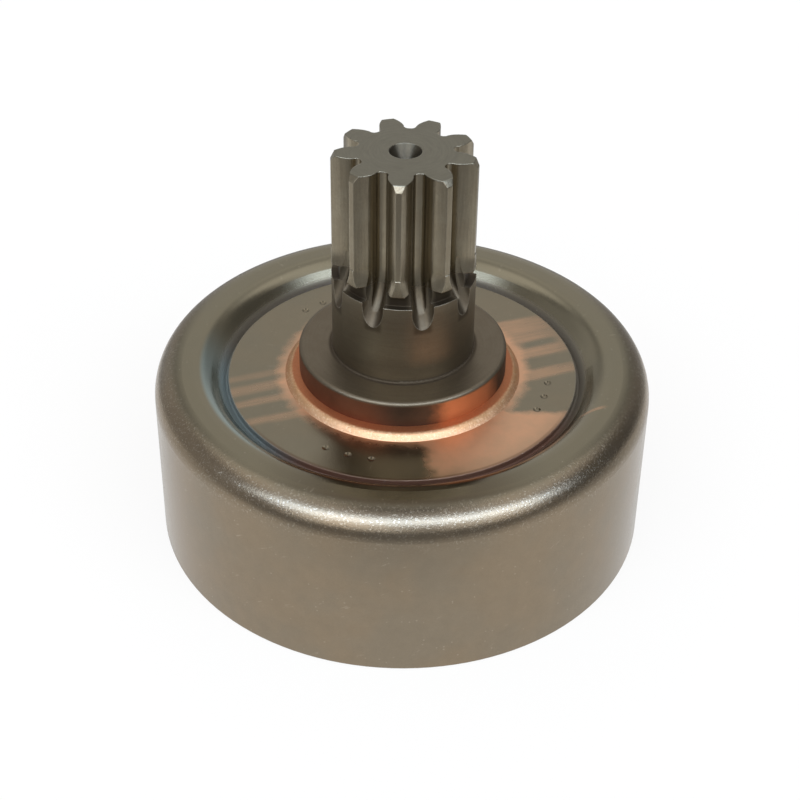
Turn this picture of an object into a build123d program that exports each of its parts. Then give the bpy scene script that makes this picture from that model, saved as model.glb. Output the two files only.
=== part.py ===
from build123d import *
import os
from math import acos, cos, degrees, pi, radians, sin, tan

# Clutch drum: a drawn steel cup with a nine-tooth pinion brazed to the middle of its top.
# The frame is in millimetres. The cup stands on its open rim at z = 0 and the axis is +Z.

# Drum cup sizes
drum_outer_diameter = 60.0
sheet_thickness = 1.8
drum_height = 22.2
ring_width = 6.0
shoulder_inside_radius = 1.6
ridge_inside_radius = 1.2
slope_angle = 47.0
disc_drop = 2.0
groove_depth = 0.7
groove_floor_width = 0.3
groove_corner_radius = 0.2
disc_edge_radius = 0.1
rim_edge_radius = 0.3
track_depth = 0.3
track_end_gap = 1.8

# Inspection dots punched in the disc, at these angles about the axis
dot_diameter = 0.9
dot_depth = 0.15
dot_angles = (-119, -110, -101, -26, -17, -8, 126, 135)

# Braze sizes
braze_gap = 0.05
fillet_height = 0.9
shelf_width = 1.1
shelf_height = 0.7
shelf_edge_radius = 0.8
toe_angle = 47.0

# Pinion sizes below the teeth
collar_diameter = 25.0
collar_height = 4.1
collar_edge = 0.45
spigot_diameter = 15.0
spigot_stand_out = 1.0
spigot_edge = 0.5
seat_corner_radius = 0.2

# Centre hole in the toothed end: a cone for the lathe centre, then the pilot drill's hole
centre_hole_diameter = 3.8
centre_cone_angle = 60.0
pilot_diameter = 1.6
pilot_depth = 2.5
drill_point_angle = 118.0

# Pinion sizes along the teeth
seat_diameter = 17.0
bearing_width = 10.0
bearing_play = 0.2
ring_groove_width = 1.6
ring_groove_depth = 0.8
ground_land = 2.1
tip_relief = 0.06
toothed_end_length = 15.8
tooth_end_bevel_height = 0.75
tooth_end_bevel_depth = 0.45

# Teeth, with the tip height, profile shift, root depth and root rounding counted in modules, then the
# run-out that the hob leaves where a gap ends
tooth_count = 9
pressure_angle = 25.0
tip_modules = 1.1667
profile_shift = 0.25
root_modules = 0.85
rounding_modules = 0.4
first_gap_angle = 5.5
hob_radius = 7.4
full_depth_length = 12.1
flare_radius = 1.3
flare_start_height = 0.7
flare_length = 6.6

# Heights that follow from the sizes
disc_z = drum_height - disc_drop
track_end_z = drum_height - sheet_thickness - shoulder_inside_radius - track_end_gap
groove_z = disc_z - groove_depth
collar_top_z = disc_z + collar_height
ring_groove_z = collar_top_z + bearing_width + bearing_play
ring_groove_top_z = ring_groove_z + ring_groove_width
ground_end_z = ring_groove_top_z + ground_land
pinion_top_z = ring_groove_z + toothed_end_length
spigot_end_z = disc_z - sheet_thickness - spigot_stand_out
full_depth_z = pinion_top_z - full_depth_length
pilot_z = pinion_top_z - (centre_hole_diameter - pilot_diameter) / 2 / tan(radians(centre_cone_angle / 2))
pilot_floor_z = pilot_z - pilot_depth

# Radii that follow from the sizes
drum_radius = drum_outer_diameter / 2
slope_run = (disc_drop + groove_depth) / tan(radians(slope_angle))
ridge_r = drum_radius - ring_width
groove_r = ridge_r - slope_run
disc_r = groove_r - groove_floor_width
collar_r = collar_diameter / 2
seat_r = seat_diameter / 2
tip_r = seat_r - tip_relief
spigot_r = spigot_diameter / 2
centre_hole_r = centre_hole_diameter / 2
pilot_r = pilot_diameter / 2
disc_hole_r = spigot_r + braze_gap
track_r = drum_radius - sheet_thickness + track_depth
fillet_r = collar_r + shelf_width + shelf_height / tan(radians(toe_angle))
dot_circle_r = (fillet_r + disc_r) / 2
dot_ball_r = (dot_diameter ** 2 / 4 + dot_depth ** 2) / (2 * dot_depth)

# Tooth form: an involute on the base circle, cut down to the root circle, with its tip at the seat's radius
tooth_module = seat_diameter / (tooth_count + 2 * tip_modules)
pitch_r = tooth_module * tooth_count / 2
base_r = pitch_r * cos(radians(pressure_angle))
root_r = pitch_r - tooth_module * root_modules
pitch_thickness = tooth_module * (pi / 2 + 2 * profile_shift * tan(radians(pressure_angle)))
flank_steps = 5
cutter_reach = 1.0

# Run-out of a tooth gap: the flare climbs on a circle from its start to the face of the seat
gap_depth = seat_r - root_r
flare_climb = gap_depth - flare_start_height
flare_path_radius = (flare_length ** 2 + flare_climb ** 2) / (2 * flare_climb)


def involute(angle):
    return tan(angle) - angle


def gap_half_angle(radius):
    # Half the angle between two teeth at a radius, measured from the middle of the gap
    thinning = involute(acos(base_r / radius)) - involute(radians(pressure_angle))
    tooth_half_angle = pitch_thickness / (2 * pitch_r) - thinning
    return pi / tooth_count - tooth_half_angle


def spin(section):
    # Turn a section drawn as (radius, height) about the axis
    return revolve(Plane.XZ * section, Axis.Z)


def corners_at(section, *places):
    # The corners of a section that lie at the given places
    return [section.vertices().sort_by_distance(place)[0] for place in places]


def make_drum_cup():
    # Sheet section: rim, wall, shoulder, ring top, slope, groove, step and disc, then back along the inside
    # to the friction track that is turned into the wall for the clutch shoes
    inside_shift = sheet_thickness * tan(radians(slope_angle / 2))
    inside_r = drum_radius - sheet_thickness
    rim_outer = (drum_radius, 0)
    shoulder_outer = (drum_radius, drum_height)
    ridge_outer = (ridge_r, drum_height)
    groove_outer = (groove_r, groove_z)
    step_foot = (disc_r, groove_z)
    step_edge = (disc_r, disc_z)
    hole_top = (disc_hole_r, disc_z)
    hole_bottom = (disc_hole_r, disc_z - sheet_thickness)
    bead_start = (disc_r - sheet_thickness, disc_z - sheet_thickness)
    bead_foot = (disc_r - sheet_thickness + groove_depth, groove_z - sheet_thickness)
    groove_inner = (groove_r + inside_shift, groove_z - sheet_thickness)
    ridge_inner = (ridge_r + inside_shift, drum_height - sheet_thickness)
    shoulder_inner = (inside_r, drum_height - sheet_thickness)
    track_end = (inside_r, track_end_z)
    track_top = (track_r, track_end_z)
    rim_inner = (track_r, 0)
    section = make_face(Polyline(
        rim_outer, shoulder_outer, ridge_outer, groove_outer, step_foot, step_edge, hole_top,
        hole_bottom, bead_start, bead_foot, groove_inner, ridge_inner, shoulder_inner,
        track_end, track_top, rim_inner, close=True,
    ))
    section = fillet(corners_at(section, shoulder_outer), shoulder_inside_radius + sheet_thickness)
    section = fillet(corners_at(section, shoulder_inner), shoulder_inside_radius)
    section = fillet(corners_at(section, ridge_outer), ridge_inside_radius + sheet_thickness)
    section = fillet(corners_at(section, ridge_inner), ridge_inside_radius)
    section = fillet(corners_at(section, groove_outer, step_foot, bead_start), groove_corner_radius)
    section = fillet(corners_at(section, bead_foot, groove_inner), groove_corner_radius + groove_depth / 2)
    section = fillet(corners_at(section, step_edge), disc_edge_radius)
    section = fillet(corners_at(section, rim_outer, rim_inner), rim_edge_radius)
    cup = spin(section)
    ball = Pos(dot_circle_r, 0, disc_z - dot_depth + dot_ball_r) * Sphere(dot_ball_r)
    for angle in dot_angles:
        cup -= Rot(0, 0, angle) * ball
    return cup


def make_gap_section():
    # One tooth gap seen along the axis, with the middle of the gap along +Y
    def flank_point(radius, side):
        angle = side * gap_half_angle(radius)
        return (radius * sin(angle), radius * cos(angle))

    top_r = seat_r + cutter_reach
    radii = [base_r + (top_r - base_r) * step / flank_steps for step in range(flank_steps + 1)]
    right = [flank_point(radius, 1) for radius in radii]
    left = [flank_point(radius, -1) for radius in radii]
    base_angle = gap_half_angle(base_r)
    right_root = (root_r * sin(base_angle), root_r * cos(base_angle))
    left_root = (-right_root[0], right_root[1])
    section = make_face([
        Spline(*right),
        Line(right[-1], left[-1]),
        Spline(*left),
        Line(left[0], left_root),
        ThreePointArc(left_root, (0, root_r), right_root),
        Line(right_root, right[0]),
    ])
    return fillet(corners_at(section, right_root, left_root), rounding_modules * tooth_module)


def make_gap_cutter():
    # The gap runs straight to the toothed end and leaves the blank along the hob's circle,
    # and a round flare inside it widens its end
    section = Pos(0, 0, full_depth_z) * make_gap_section()
    straight = extrude(section, pinion_top_z - full_depth_z + cutter_reach)
    hob_axis = Axis((0, root_r + hob_radius, full_depth_z), (1, 0, 0))
    hob_angle = degrees(acos(1 - (gap_depth + cutter_reach) / hob_radius))
    run_out = revolve(section, hob_axis, hob_angle)
    flare_floor_r = root_r + flare_start_height
    ball = Pos(0, flare_floor_r + flare_radius, full_depth_z) * Circle(flare_radius)
    flare_axis = Axis((0, flare_floor_r + flare_path_radius, full_depth_z), (1, 0, 0))
    flare_angle = degrees(acos(1 - (flare_climb + cutter_reach) / flare_path_radius))
    flare = revolve(ball, flare_axis, flare_angle)
    return straight + run_out + flare


def make_pinion():
    # Turned blank: spigot, collar, ground seat with the ring groove in it, bevelled end and centre hole
    spigot_end = (spigot_r, spigot_end_z)
    collar_edge_place = (collar_r, collar_top_z)
    seat_corner = (seat_r, collar_top_z)
    drill_point = (0, pilot_floor_z - pilot_r / tan(radians(drill_point_angle / 2)))
    groove_floor_r = seat_r - ring_groove_depth
    section = make_face(Polyline(
        (0, spigot_end_z), spigot_end, (spigot_r, disc_z), (collar_r, disc_z), collar_edge_place, seat_corner,
        (seat_r, ring_groove_z), (groove_floor_r, ring_groove_z),
        (groove_floor_r, ring_groove_top_z), (seat_r, ring_groove_top_z),
        (seat_r, ground_end_z), (tip_r, ground_end_z),
        (tip_r, pinion_top_z - tooth_end_bevel_height), (tip_r - tooth_end_bevel_depth, pinion_top_z),
        (centre_hole_r, pinion_top_z), (pilot_r, pilot_z), (pilot_r, pilot_floor_z), drill_point, close=True,
    ))
    section = chamfer(corners_at(section, spigot_end), spigot_edge)
    section = fillet(corners_at(section, collar_edge_place), collar_edge)
    section = fillet(corners_at(section, seat_corner), seat_corner_radius)
    pinion = spin(section)
    cutter = make_gap_cutter()
    for gap in range(tooth_count):
        pinion -= Rot(0, 0, first_gap_angle - 90 + gap * 360 / tooth_count) * cutter
    return pinion


def make_braze_fillet():
    # Filler metal frozen in the corner between the collar and the disc: a low shelf with a sloping toe
    high = (collar_r, disc_z + fillet_height)
    foot = (collar_r, disc_z)
    toe = (fillet_r, disc_z)
    shelf_edge = (collar_r + shelf_width, disc_z + shelf_height)
    section = make_face(Polyline(high, foot, toe, shelf_edge, close=True))
    section = fillet(corners_at(section, shelf_edge), shelf_edge_radius)
    return spin(section)


os.makedirs("parts", exist_ok=True)
export_step(make_drum_cup(), "parts/drum_cup.step")
export_step(make_pinion(), "parts/pinion.step")
export_step(make_braze_fillet(), "parts/braze_fillet.step")
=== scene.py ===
import math

import bpy
from mathutils import Matrix, Vector

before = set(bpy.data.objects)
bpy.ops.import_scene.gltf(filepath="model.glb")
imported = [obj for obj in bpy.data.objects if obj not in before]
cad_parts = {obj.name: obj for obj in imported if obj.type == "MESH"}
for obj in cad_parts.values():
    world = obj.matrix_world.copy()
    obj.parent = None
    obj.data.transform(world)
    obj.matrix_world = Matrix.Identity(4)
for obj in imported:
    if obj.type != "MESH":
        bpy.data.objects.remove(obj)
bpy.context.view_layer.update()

# Drum cup: one deep-drawn cup of sheet steel, open below, with a groove pressed round its top.
# It has been through a brazing furnace, which tinted the steel brown and let molten copper run
# outwards over the disc along the rolling marks of the sheet.
degrees_per_radian = 180 / math.pi
millimetres_per_metre = 1000.0

# The numbers of a Mix node's colour sockets, because its other kinds share their names
mix_first, mix_second, mix_result = 6, 7, 2


class Wire:
    """A socket of a material; arithmetic on it adds Math nodes."""

    def __init__(self, tree, socket):
        self.tree = tree
        self.socket = socket

    def add(self, kind, settings, sockets, output=0):
        """Any other node: its type, its settings, then the values or links of its sockets."""
        node = self.tree.nodes.new(kind)
        for name, value in settings.items():
            setattr(node, name, value)
        for name, value in sockets.items():
            if isinstance(value, Wire):
                self.tree.links.new(value.socket, node.inputs[name])
            else:
                node.inputs[name].default_value = value
        return Wire(self.tree, node.outputs[output])

    def math(self, operation, *values):
        return self.add("ShaderNodeMath", {"operation": operation}, dict(enumerate(values)))

    def __add__(self, other):
        return self.math("ADD", self, other)

    def __radd__(self, other):
        return self.math("ADD", other, self)

    def __sub__(self, other):
        return self.math("SUBTRACT", self, other)

    def __rsub__(self, other):
        return self.math("SUBTRACT", other, self)

    def __mul__(self, other):
        return self.math("MULTIPLY", self, other)

    def __rmul__(self, other):
        return self.math("MULTIPLY", other, self)

    def rise(self, low, high):
        """0 below low, 1 above high, smooth between them; a high below low turns it round."""
        start, end = (0.0, 1.0) if low < high else (1.0, 0.0)
        sockets = {
            "Value": self, "From Min": min(low, high), "From Max": max(low, high),
            "To Min": start, "To Max": end}
        return self.add("ShaderNodeMapRange", {"interpolation_type": "SMOOTHSTEP"}, sockets)

    def band(self, low, high, soft):
        """1 between low and high, falling to 0 over soft outside them."""
        return self.rise(low - soft, low) * self.rise(high + soft, high)

    def split(self):
        """The x, y and z of this vector."""
        x = self.add("ShaderNodeSeparateXYZ", {}, {"Vector": self})
        return [Wire(self.tree, socket) for socket in x.socket.node.outputs]

    def grey(self):
        """This value as a neutral colour."""
        sockets = {"Red": self, "Green": self, "Blue": self}
        return self.add("ShaderNodeCombineColor", {}, sockets)

    def tint(self, mask, colour):
        """This colour, mixed towards another one by a mask."""
        if not isinstance(colour, Wire):
            colour = (*colour, 1.0)
        sockets = {"Factor": mask, mix_first: self, mix_second: colour}
        return self.add("ShaderNodeMix", {"data_type": "RGBA"}, sockets, mix_result)

    def shade(self, strength):
        """This colour made darker or lighter by a value."""
        settings = {"data_type": "RGBA", "blend_type": "MULTIPLY"}
        sockets = {"Factor": 1.0, mix_first: self, mix_second: strength.grey()}
        return self.add("ShaderNodeMix", settings, sockets, mix_result)


class Finish:
    """A metal finish on Object coordinates in millimetres, with radius and angle worked out."""

    def __init__(self, name):
        self.material = bpy.data.materials.new(name)
        self.material.use_nodes = True
        self.tree = self.material.node_tree
        self.shader = self.tree.nodes["Principled BSDF"]
        self.shader.inputs["Metallic"].default_value = 1.0
        metres = Wire(self.tree, self.tree.nodes.new("ShaderNodeTexCoord").outputs["Object"])
        self.place = metres.add(
            "ShaderNodeVectorMath", {"operation": "SCALE"},
            {0: metres, "Scale": millimetres_per_metre})
        self.x, self.y, self.z = self.place.split()
        self.radius = self.x.math("SQRT", self.x * self.x + self.y * self.y)
        self.angle = self.y.math("ARCTAN2", self.y, self.x) * degrees_per_radian

    def vector(self, x, y, z):
        return self.x.add("ShaderNodeCombineXYZ", {}, {"X": x, "Y": y, "Z": z})

    def noise(self, vector, scale, detail=2.0, rough=0.5):
        sockets = {"Vector": vector, "Scale": scale, "Detail": detail, "Roughness": rough}
        return self.x.add("ShaderNodeTexNoise", {}, sockets)

    def flecks(self, vector, scale, keep, size):
        """Small spots, one in some of the cells of a scatter."""
        spot = self.x.add("ShaderNodeTexVoronoi", {}, {"Vector": vector, "Scale": scale})
        cell = Wire(self.tree, spot.socket.node.outputs["Color"])
        chance = cell.add("ShaderNodeSeparateColor", {}, {"Color": cell})
        return spot.rise(size, size * 0.5) * chance.rise(keep - 0.02, keep)

    def blend(self, mask, first, second):
        """Two colours of one metal, mixed by a mask."""
        sockets = {"Factor": mask, mix_first: (*first, 1.0), mix_second: (*second, 1.0)}
        return self.x.add("ShaderNodeMix", {"data_type": "RGBA"}, sockets, mix_result)

    def bump(self, height, depth_mm, normal=None):
        sockets = {
            "Height": height, "Strength": 1.0, "Distance": depth_mm / millimetres_per_metre}
        if normal is not None:
            sockets["Normal"] = normal
        return self.x.add("ShaderNodeBump", {}, sockets)

    def connect(self, **sockets):
        for name, wire in sockets.items():
            self.tree.links.new(wire.socket, self.shader.inputs[name.replace("_", " ")])


def cover(node_name, finish):
    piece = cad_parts[node_name]
    piece.data.materials.clear()
    piece.data.materials.append(finish.material)


# Heights and radii are in millimetres; angles are in degrees, 0 on the right and -90 in front.
# upper_side keeps a mark off the inside of the cup.
steel = Finish("furnace_brown_steel")
disc_top = 20.2
disc_edge = 21.2
flank_top = 24.0
upper_side = steel.z.rise(18.5, 19.3)

# Brown furnace tint, warmer and greyer by turns, over a fine grain
warm_brown = (0.286, 0.226, 0.157)
grey_brown = (0.268, 0.222, 0.162)
clouds = steel.noise(steel.place, scale=0.11, detail=3.0, rough=0.55)
mottle = steel.noise(steel.place, scale=0.6, detail=4.0, rough=0.6)
grain = steel.noise(steel.place, scale=6.0, detail=2.0, rough=0.6)
tone = steel.blend(clouds.rise(0.35, 0.65), warm_brown, grey_brown)
tone = tone.shade(0.85 + 0.18 * mottle + 0.13 * grain)

# Olive tint on the upward faces, and a brown painted dark reflection across the front of the ring
# and the disc
olive = (0.262, 0.240, 0.168)
front_shade_brown = (0.085, 0.055, 0.032)
on_top = steel.z.rise(19.0, 21.0) * steel.radius.rise(28.6, 27.0)
ring_front_shade = steel.radius.band(23.0, 27.0, 1.0) * steel.angle.band(-100.0, -80.0, 32.0)
disc_front_shade = steel.radius.band(15.0, 20.6, 0.8) * steel.angle.band(-112.0, -80.0, 12.0)
front_shade = (ring_front_shade + 0.55 * disc_front_shade) * upper_side
tone = tone.tint(on_top * 0.7, olive).tint(front_shade * 0.7, front_shade_brown)

# Lines that the drawing die left along the profile, all the way round
profile = steel.z * 0.12 + steel.radius * 0.12
draw_lines = steel.noise(
    steel.vector(steel.angle, profile, 0.0), scale=1.7, detail=3.0, rough=0.65)

# Blue-grey tint on the groove's left flank
left_flank_blue = (0.35, 0.42, 0.40)
full_turn = steel.angle.math("MODULO", steel.angle + 360.0, 360.0)
leftward = full_turn.band(186.0, 218.0, 24.0)
on_flank = steel.radius.band(disc_edge, flank_top, 0.7) * upper_side
on_flank = on_flank * steel.radius.rise(disc_edge - 0.1, disc_edge + 0.1)
tone = tone.tint(on_flank * leftward * 0.85, left_flank_blue)

# Copper that ran out of the joint: a halo, a film with soft streaks along the rolling marks, a pool
bright_copper = (0.80, 0.47, 0.285)
rolling = math.radians(20.0)
along = steel.x * math.cos(rolling) + steel.y * math.sin(rolling)
across = steel.y * math.cos(rolling) - steel.x * math.sin(rolling)
streaks = steel.noise(
    steel.vector(along * 0.08, across, 0.0), scale=1.6, detail=3.0, rough=0.65)
ragged = steel.noise(steel.place, scale=0.4, detail=4.0, rough=0.6) - 0.5
sway = steel.noise(
    steel.vector(along * 0.15, across * 0.5, 5.0), scale=0.6, detail=3.0, rough=0.6)
waver = across + (sway - 0.5)
on_disc = steel.radius.rise(disc_edge + 0.2, disc_edge - 0.3) * steel.z.rise(19.0, 19.6)
halo = (steel.radius + 2.2 * ragged).rise(15.9, 14.0)
wide_streaks = waver.band(1.7, 2.1, 1.2) + waver.band(-4.5, -4.2, 1.0)
thin_streaks = waver.band(4.3, 4.6, 0.8) * 0.6 + waver.band(-0.8, -0.5, 0.8)
left_film = (wide_streaks + thin_streaks) * along.rise(-10.0, -14.0)
bare_behind = waver.band(-0.4, 0.0, 1.0) * along.band(16.6, 19.6, 2.0)
bare_in_front = waver.band(-4.8, -3.4, 1.0) * along.band(15.4, 20.8, 1.6)
right_film = waver.band(-6.6, 5.0, 1.0) * along.rise(11.0, 13.5)
right_film = right_film * (1 - (bare_behind + bare_in_front)) * steel.radius.rise(26.0, 16.0)
film = (left_film * 0.30 + right_film * 0.50) * (0.25 + 1.5 * streaks)
pool = (steel.y + 1.6 * ragged).rise(-7.8, -8.9) * (steel.angle + 10.0 * ragged).rise(-84.0, -77.0)
pool = pool * (1 - 0.3 * steel.radius.rise(18.5, 21.0))
copper = halo.math("MINIMUM", halo * 0.8 + film + pool, 1.0) * on_disc
run = across.band(-17.2, -17.1, 0.35) * along.band(15.2, 18.0, 1.5) * steel.z.rise(21.0, 21.8)
copper = copper.math("MAXIMUM", copper * (0.75 + 0.4 * mottle), run * 0.4)
tone = tone.tint(copper, bright_copper)

# Dull scale in the bottom of the groove, its dark colour partly painted shade of the recess: brown,
# stained by copper in front, blue-grey on the left
lip_shade_red = (0.13, 0.055, 0.030)
scale_and_shade_brown = (0.085, 0.066, 0.044)
scale_red = (0.110, 0.048, 0.027)
scale_blue = (0.120, 0.140, 0.132)
frontal = steel.angle.band(-130.0, -40.0, 25.0)
# The lip of the disc's edge in front is painted dark red: painted shade over the highlight of its
# rounded edge
lip_shade = steel.radius.band(disc_edge - 0.35, disc_edge + 0.1, 0.25)
lip_shade = lip_shade * steel.z.rise(disc_top + 0.1, disc_top - 0.1) * frontal
scale = steel.radius.rise(disc_edge - 0.25, disc_edge)
scale = scale * steel.radius.rise(disc_edge + 1.5, disc_edge + 0.6)
scale = scale * steel.z.rise(disc_top + 0.6, disc_top - 0.2)
scale_and_shade_tone = steel.blend(frontal, scale_and_shade_brown, scale_red).tint(leftward, scale_blue)
tone = tone.tint(lip_shade * 0.85, lip_shade_red).tint(scale * 0.9, scale_and_shade_tone)

# Small bright nicks and hair scratches where the tint has been rubbed off
rubbed_steel = (0.55, 0.49, 0.40)
unrolled = steel.vector(steel.angle * 0.5, steel.z, steel.radius)
flecks = steel.flecks(unrolled, scale=1.3, keep=0.82, size=0.16)
scratched = steel.vector(
    steel.angle * 0.5 + steel.z * 0.8, (steel.z - steel.angle * 0.3) * 9.0, steel.radius)
hairs = steel.noise(scratched, scale=0.35, detail=1.0).rise(0.71, 0.77) * mottle.rise(0.48, 0.62)
rubbed = flecks.math("MAXIMUM", flecks * 0.7, hairs * 0.6)
tone = tone.tint(rubbed * 0.4, rubbed_steel)

# Fine pale specks on the shoulder: bare metal where the die pressed hardest, and painted glints
# that break up its highlight
speck_and_glint_white = (0.62, 0.58, 0.50)
on_shoulder = steel.radius.rise(26.9, 28.0) * steel.z.rise(17.0, 19.5)
specks_and_glints = steel.noise(steel.place, scale=3.6, detail=2.0, rough=0.7).rise(0.55, 0.68) * on_shoulder
tone = tone.tint(specks_and_glints * 0.3, speck_and_glint_white)

# Coarser skin where the sheet was stretched over the shoulder, satin grain in the copper
skin = steel.noise(steel.place, scale=4.4, detail=3.0, rough=0.75)
coarse = copper.math("MAXIMUM", on_shoulder * 1.7, copper * 1.2)
raised = grain * 0.6 + draw_lines * 0.55 + copper * 0.3 + skin * coarse
height = raised - flecks * 0.25 - specks_and_glints * 0.4
steel.connect(
    Base_Color=tone,
    Metallic=1 - 0.85 * scale,
    Roughness=0.16 + 0.09 * mottle + 0.24 * copper + 0.03 * on_shoulder + 0.3 * scale,
    Normal=steel.bump(height, depth_mm=0.012))
cover("drum_cup", steel)

# Pinion: one turned and hobbed steel piece, its spigot set through the disc and brazed there.
# The bearing seat and the collar's face are turned and ground, the nine tooth gaps are hobbed,
# and the furnace has left it the same grey-brown as the cup, with copper drawn up its collar.
gear_steel = Finish("hobbed_pinion_steel")
collar_radius = 12.5
collar_top = 24.3
seat_radius = 8.5
ring_groove_bottom = 34.5
ring_groove_top = 36.1
hole_radius = 1.9
end_face = 50.3
tooth_middle = 25.5
half_pitch = 20.0

# Grey-brown steel with blotches and a fine speckle, darker on the end face
pale_steel = (0.345, 0.302, 0.222)
dark_steel = (0.302, 0.258, 0.186)
end_face_grey = (0.165, 0.158, 0.122)
blotches = gear_steel.noise(gear_steel.place, scale=0.45, detail=4.0, rough=0.6)
speckle = gear_steel.noise(gear_steel.place, scale=5.0, detail=3.0, rough=0.65)
gear_tone = gear_steel.blend(blotches.rise(0.35, 0.65), pale_steel, dark_steel)
gear_tone = gear_tone.shade(0.66 + 0.30 * blotches + 0.38 * speckle)
on_end_face = gear_steel.z.rise(end_face - 0.15, end_face - 0.02)
gear_tone = gear_tone.tint(on_end_face * 0.75, end_face_grey)

# Rings left by turning below the teeth, lengthwise lines left by the hob along them
turned = gear_steel.vector(gear_steel.angle * 0.01, gear_steel.radius, gear_steel.z)
turning = gear_steel.noise(turned, scale=3.4, detail=3.0, rough=0.6)
hobbed = gear_steel.vector(gear_steel.x, gear_steel.y, gear_steel.z * 0.05)
hobbing = gear_steel.noise(hobbed, scale=4.0, detail=3.0, rough=0.6)
on_teeth = gear_steel.z.rise(33.0, 36.0) * gear_steel.z.rise(end_face - 0.05, end_face - 0.15)
marks = turning * (1 - on_teeth) + hobbing * on_teeth
gear_tone = gear_tone.shade(0.78 + 0.44 * marks)

# Painted shade in the ring groove, in the corner at the foot of the seat and in the centre hole;
# tooth_offset is the angle from the middle of the nearest tooth
recess_shade_black = (0.018, 0.014, 0.010)
tooth_offset = gear_steel.angle.math(
    "PINGPONG", gear_steel.angle + (720 - tooth_middle), half_pitch)
in_ring_groove = gear_steel.z.band(ring_groove_bottom - 0.05, ring_groove_top + 0.02, 0.06)
in_ring_groove = in_ring_groove * gear_steel.radius.rise(seat_radius + 0.02, seat_radius - 0.06)
in_ring_groove = in_ring_groove * tooth_offset.rise(13.0, 11.5)
in_corner = gear_steel.radius.rise(seat_radius + 0.6, seat_radius + 0.2)
in_corner = in_corner * gear_steel.z.rise(collar_top + 0.5, collar_top + 0.15)
in_hole = gear_steel.radius.rise(hole_radius + 0.1, hole_radius - 0.1)
in_hole = in_hole * gear_steel.z.rise(40.0, 42.0)
ring_groove_shade = in_ring_groove * (0.6 + 0.35 * tooth_offset.rise(11.0, 6.0))
gear_tone = gear_tone.tint(ring_groove_shade + in_corner * 0.95 + in_hole * 0.75, recess_shade_black)

# Duller browner steel on the collar's face and the seat, and painted shade, darker still, in
# the run-outs of the tooth gaps
seat_brown = (0.138, 0.103, 0.067)
run_out_shade_brown = (0.060, 0.044, 0.028)
below_teeth = gear_steel.z.rise(37.5, 32.5)
in_run_out = gear_steel.z.rise(37.5, 34.5) * gear_steel.z.rise(30.8, 31.4)
in_run_out = in_run_out * tooth_offset.rise(11.0, 15.0)
gear_tone = gear_tone.tint(below_teeth * 0.7, seat_brown).tint(in_run_out * 0.6, run_out_shade_brown)

# Collar's wall painted dark, reddish towards the left, as a painted dark reflection, with copper
# drawn up it on the side of the pool
wall_shade_dark = (0.085, 0.055, 0.038)
wall_shade_red = (0.21, 0.085, 0.048)
drawn_copper = (0.60, 0.24, 0.11)
on_collar_wall = gear_steel.radius.rise(collar_radius - 0.3, collar_radius - 0.1)
on_collar_wall = on_collar_wall * gear_steel.z.rise(collar_top - 0.2, collar_top - 0.6)
drawn_up = (gear_steel.angle + 12.0 * (blotches - 0.5)).band(-62.0, -38.0, 15.0)
wall_shade_and_copper = gear_steel.blend(gear_steel.angle.rise(-90.0, -112.0), wall_shade_dark, wall_shade_red)
wall_shade_and_copper = wall_shade_and_copper.shade(0.7 + 0.6 * blotches).tint(drawn_up, drawn_copper)
gear_tone = gear_tone.tint(on_collar_wall * 0.95, wall_shade_and_copper)

# Edges worn round and bright
edge_radius = 0.16 / millimetres_per_metre
worn_steel = (0.55, 0.50, 0.40)
rounded = gear_steel.x.add("ShaderNodeBevel", {"samples": 6}, {"Radius": edge_radius})
facing = gear_steel.x.add("ShaderNodeNewGeometry", {}, {}, "Normal")
agree = rounded.add(
    "ShaderNodeVectorMath", {"operation": "DOT_PRODUCT"}, {0: rounded, 1: facing}, "Value")
worn = agree.rise(0.995, 0.93) * (0.35 + 0.65 * speckle.rise(0.4, 0.6)) * (1 - in_ring_groove)
gear_tone = gear_tone.tint(worn * 0.55, worn_steel)

# Duller in the painted-shade recesses, where it is stained and below the teeth
dull = 0.2 * gear_steel.z.rise(37.0, 33.5) + 0.12 * on_collar_wall
dull = dull + 0.25 * in_corner + 0.2 * in_ring_groove + 0.15 * in_hole
gear_steel.connect(
    Base_Color=gear_tone,
    Roughness=0.19 + 0.10 * blotches + dull,
    Normal=gear_steel.bump(marks + 0.5 * speckle, depth_mm=0.014, normal=rounded))
cover("pinion", gear_steel)

# Braze fillet: the ring of copper filler that capillary action drew into the corner between the
# collar and the disc. It froze as a dull red shelf against the collar, with a bright grainy slope
# below it that runs out onto the disc.
braze = Finish("frozen_copper_braze")
shelf_red = (0.58, 0.22, 0.10)
slope_gold = (0.84, 0.50, 0.28)
slope_copper = (0.76, 0.43, 0.22)
foot_copper = (0.78, 0.44, 0.25)
glint_gold = (0.95, 0.74, 0.48)
rippled = braze.vector(braze.angle * 0.22 + braze.radius * 0.5, braze.radius * 0.3, 0.0)
ripple = braze.noise(rippled, scale=3.2, detail=2.0, rough=0.6)
sparkle = braze.noise(braze.place, scale=3.2, detail=4.0, rough=0.7)
braze_clouds = braze.noise(braze.place, scale=0.5, detail=3.0)
on_slope = (braze.radius + 0.3 * (sparkle - 0.5)).rise(13.25, 13.6)
on_foot = braze.radius.rise(13.85, 14.2)
braze_tone = braze.blend(braze_clouds.rise(0.35, 0.65), slope_gold, slope_copper)
braze_tone = braze_tone.tint(on_foot, foot_copper).tint(1 - on_slope, shelf_red)
glints = braze.noise(braze.place, scale=3.6, detail=2.0, rough=0.7).rise(0.52, 0.64) * on_slope
braze_tone = braze_tone.shade(0.75 + 0.30 * sparkle).tint(glints * 0.4, glint_gold)
braze.connect(
    Base_Color=braze_tone,
    Roughness=0.40 + 0.10 * braze_clouds,
    Normal=braze.bump(ripple * 0.4 + sparkle * 0.7 - glints * 0.2, depth_mm=0.06))
cover("braze_fillet", braze)
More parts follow.
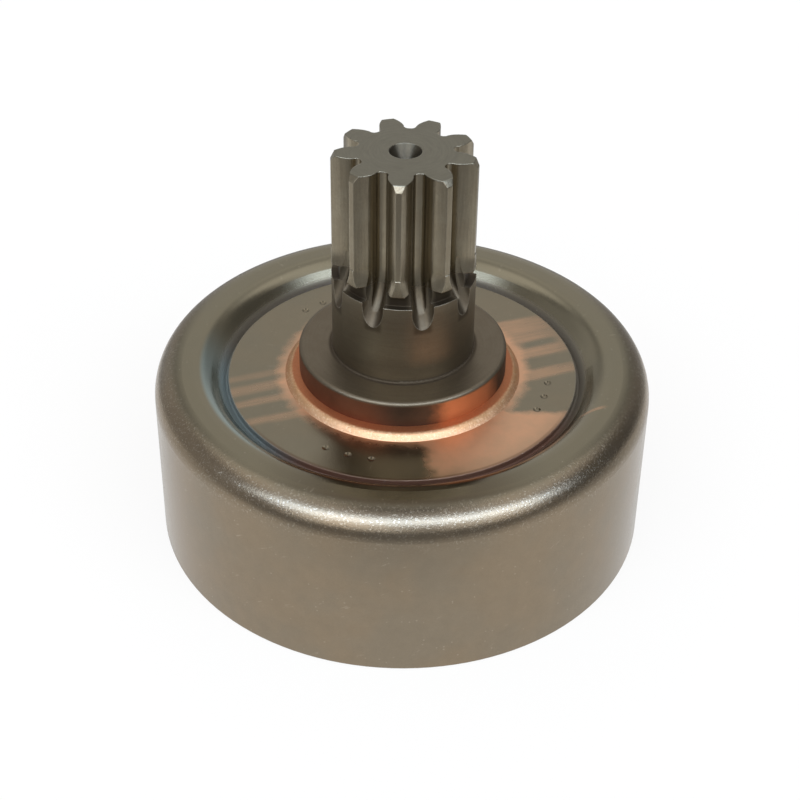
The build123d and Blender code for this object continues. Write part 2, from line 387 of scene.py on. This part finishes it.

# Floor: a plain white table top that keeps a soft shadow under the drum. Seen directly it is
# white; in the steel's reflections it shows a painted pool of light that ends a little before
# and behind the drum and fades to both sides. Its places are in metres.
table_size = 4.0
table_tint = (0.98, 0.90, 0.80, 1)
white_share = 0.85
bpy.ops.object.select_all(action="DESELECT")
bpy.ops.mesh.primitive_grid_add(
    x_subdivisions=4, y_subdivisions=4, size=table_size, location=(0, 0, 0))
floor = bpy.context.object
floor.name = "table_top"
paper = bpy.data.materials.new("white_table")
paper.use_nodes = True
paper_tree = paper.node_tree
paper_tree.nodes.clear()
paper_out = paper_tree.nodes.new("ShaderNodeOutputMaterial")
path = paper_tree.nodes.new("ShaderNodeLightPath")
seen = Wire(paper_tree, path.outputs["Is Camera Ray"])
mirrored = Wire(paper_tree, path.outputs["Is Glossy Ray"])
sent = Wire(paper_tree, path.outputs["Is Transmission Ray"])
table_place = Wire(paper_tree, paper_tree.nodes.new("ShaderNodeTexCoord").outputs["Object"])
table_x, table_y = table_place.split()[:2]
near_side = table_y.rise(0.06, 0.0)
right_fall = 1 - 0.75 * table_x.rise(0.03, 0.115) * near_side
left_fall = 1 - 0.5 * table_x.rise(-0.03, -0.115) * near_side
lit = table_y.rise(-0.080, -0.036) * table_y.rise(0.075, 0.035) * right_fall * left_fall
mirrored_level = 0.15 + 0.72 * lit + 0.15 * table_y.rise(0.0, 0.04)
white_level = seen + (1 - seen) * mirrored_level
matt = seen.add("ShaderNodeBsdfDiffuse", {}, {"Color": table_tint})
white = seen.add("ShaderNodeEmission", {}, {"Color": white_level.grey()})
shown = seen.math("MINIMUM", seen + mirrored + sent, 1.0) * white_share
table_blend = seen.add("ShaderNodeMixShader", {}, {0: shown, 1: matt, 2: white})
paper_tree.links.new(table_blend.socket, paper_out.inputs["Surface"])
floor.data.materials.append(paper)

# Studio: a wide soft cool light above and behind the camera, lower windows below it, a dim
# ceiling, a pale wall on the left and a pale glow behind the drum. Elevation and side are in
# degrees, and side is 0 towards the camera.
main_strength = 4.8
cool_white = (0.80, 1.0, 1.30, 1)
plain_white = (1, 1, 1, 1)
dim_room = 0.16
world = bpy.data.worlds.new("studio")
bpy.context.scene.world = world
world.use_nodes = True
room = world.node_tree
room.nodes.clear()
room_out = room.nodes.new("ShaderNodeOutputWorld")
ray = Wire(room, room.nodes.new("ShaderNodeTexCoord").outputs["Generated"])
ray_x, ray_y, ray_z = ray.split()
elevation = ray_z.math("ARCSINE", ray_z) * degrees_per_radian
side = ray_x.math("ARCTAN2", ray_x, ray_y * -1) * degrees_per_radian
away = side.math("ABSOLUTE", side)
drooped = elevation + side * side * 0.0022
main_light = drooped.rise(32.0, 41.0) * drooped.rise(63.0, 44.0) * side.band(-54.0, 60.0, 20.0)
left_window = elevation.band(12.0, 38.0, 6.0) * side.band(-44.0, -5.0, 7.0)
middle = elevation.band(12.0, 38.0, 8.0) * side.band(0.0, 18.0, 5.0)
right_window = elevation.band(13.0, 38.0, 6.0) * side.band(24.0, 56.0, 8.0)
ceiling_wash = elevation.band(52.0, 71.0, 12.0) * (0.45 + 0.40 * away.band(70.0, 125.0, 30.0))
left_wall = elevation.band(-20.0, 32.0, 12.0) * side.band(-140.0, -70.0, 20.0)
back_wall = (
    0.36 * elevation.rise(60.0, 40.0) * away.rise(150.0, 170.0)
    + 0.14 * elevation.rise(62.0, 30.0) * away.rise(115.0, 140.0))
level = (
    dim_room + 1.6 * left_window + 0.4 * middle + 1.25 * right_window + ceiling_wash
    + 0.25 * left_wall + back_wall)
camera_white = Wire(room, room.nodes.new("ShaderNodeLightPath").outputs["Is Camera Ray"])
soft_strength = level * (1 - camera_white) + camera_white
cool_strength = main_strength * main_light * (1 - camera_white)
soft = level.add(
    "ShaderNodeBackground", {}, {"Color": plain_white, "Strength": soft_strength})
cool = level.add(
    "ShaderNodeBackground", {}, {"Color": cool_white, "Strength": cool_strength})
glow = level.add("ShaderNodeAddShader", {}, {0: soft, 1: cool})
room.links.new(glow.socket, room_out.inputs["Surface"])

# Camera: a long lens at the photograph's height and angle, shifted so that the drum lies where
# it does in the photograph's frame.
camera_place = Vector((0, -0.15926, 0.13555))
camera_pan = -0.0019
camera_tilt = math.radians(57.25)
camera_roll = 0.0154
camera_data = bpy.data.cameras.new("photograph_view")
camera_data.sensor_width = 36.0
camera_data.lens = 72.42
camera_data.shift_x = -0.0079
camera_data.shift_y = -0.15
camera = bpy.data.objects.new("photograph_view", camera_data)
bpy.context.collection.objects.link(camera)
camera.matrix_world = (
    Matrix.Translation(camera_place)
    @ Matrix.Rotation(camera_pan, 4, "Z")
    @ Matrix.Rotation(camera_tilt, 4, "X")
    @ Matrix.Rotation(camera_roll, 4, "Z"))
bpy.context.scene.camera = camera
bpy.context.scene.view_settings.view_transform = "Standard"
